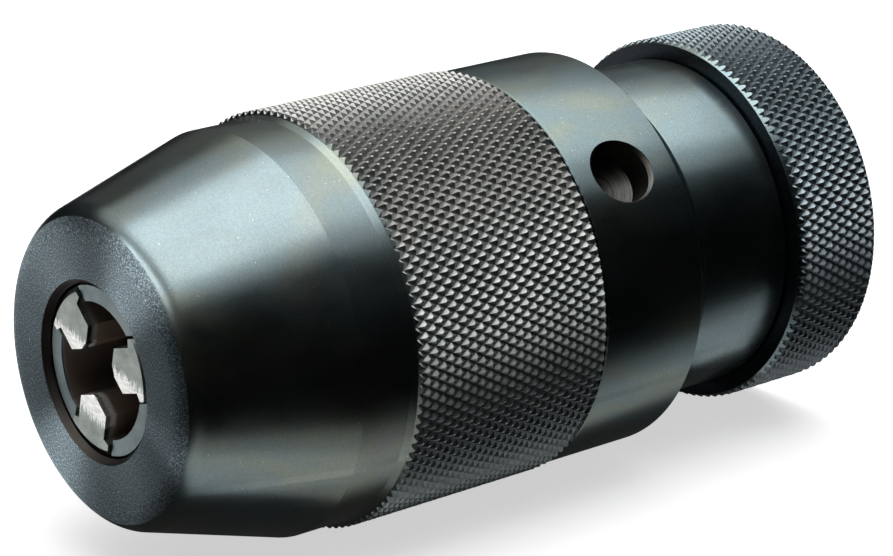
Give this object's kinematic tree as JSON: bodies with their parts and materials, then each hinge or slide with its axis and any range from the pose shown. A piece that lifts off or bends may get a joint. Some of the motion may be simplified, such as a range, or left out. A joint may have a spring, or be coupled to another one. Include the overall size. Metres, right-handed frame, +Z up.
{
  "type": "drill chuck",
  "caption": "Keyless self-tightening drill chuck: tapered hood with a knurled band, three sliding jaws, plain neck and knurled rear holding ring.",
  "frame": {"origin": "centre of the base of the bounding box: on the surface the chuck lies on, under the middle of the spindle axis", "axes": "+Y along the spindle axis from the nose to the rear face, +Z up, with the chuck lying on its knurled band"},
  "size_m": [0.0506, 0.1024, 0.0506],
  "materials": {
    "black_oxide": "black oxide, satin",
    "blued_steel": "blued, matte",
    "ground_steel": "hardened and ground",
    "bearing_steel": "polished",
    "cage_brass": "machined"
  },
  "bodies": {
    "body": {"chuck_body": "black_oxide", "holding_ring": "black_oxide", "ring_snap_ring": "blued_steel", "bearing_nut": "blued_steel", "front_race": "bearing_steel"},
    "sleeve_group": {"hood": "black_oxide", "sleeve": "black_oxide", "jaw_guide": "blued_steel", "rear_race": "bearing_steel"},
    "feed_screw": {"feed_screw": "blued_steel"},
    "jaw_1": {"jaw_1": "ground_steel"},
    "jaw_2": {"jaw_2": "ground_steel"},
    "jaw_3": {"jaw_3": "ground_steel"},
    "ball_set": {"ball_cage": "cage_brass", "ball_01": "bearing_steel", "ball_02": "bearing_steel", "ball_03": "bearing_steel", "ball_04": "bearing_steel", "ball_05": "bearing_steel", "ball_06": "bearing_steel", "ball_07": "bearing_steel", "ball_08": "bearing_steel", "ball_09": "bearing_steel", "ball_10": "bearing_steel", "ball_11": "bearing_steel", "ball_12": "bearing_steel", "ball_13": "bearing_steel", "ball_14": "bearing_steel", "ball_15": "bearing_steel", "ball_16": "bearing_steel"}
  },
  "joints": [
    {"name": "sleeve_spin", "type": "hinge", "parent": "body", "child": "sleeve_group", "pos_m": [0, 0, 0.0253], "axis": [0, 1, 0], "range_deg": [-990, 925]},
    {"name": "screw_feed", "type": "slide", "parent": "sleeve_group", "child": "feed_screw", "axis": [0, -1, 0], "range_m": [-0.01101, 0.01029]},
    {"name": "jaw_1_slide", "type": "slide", "parent": "sleeve_group", "child": "jaw_1", "axis": [0.1979, -0.9627, -0.1845], "range_m": [-0.01144, 0.01069]},
    {"name": "jaw_2_slide", "type": "slide", "parent": "sleeve_group", "child": "jaw_2", "axis": [-0.2588, -0.9627, -0.0791], "range_m": [-0.01144, 0.01069]},
    {"name": "jaw_3_slide", "type": "slide", "parent": "sleeve_group", "child": "jaw_3", "axis": [0.0609, -0.9627, 0.2637], "range_m": [-0.01144, 0.01069]},
    {"name": "cage_spin", "type": "hinge", "parent": "body", "child": "ball_set", "pos_m": [0, 0, 0.0253], "axis": [0, 1, 0], "range_deg": [-495.5, 463]}
  ],
  "couplings": [
    {"joint": "screw_feed", "follows": "sleeve_spin", "m_per_rad": 0.00063662},
    {"joint": "jaw_1_slide", "follows": "sleeve_spin", "m_per_rad": 0.00066129},
    {"joint": "jaw_2_slide", "follows": "sleeve_spin", "m_per_rad": 0.00066129},
    {"joint": "jaw_3_slide", "follows": "sleeve_spin", "m_per_rad": 0.00066129},
    {"joint": "cage_spin", "follows": "sleeve_spin", "ratio": 0.5}
  ]
}
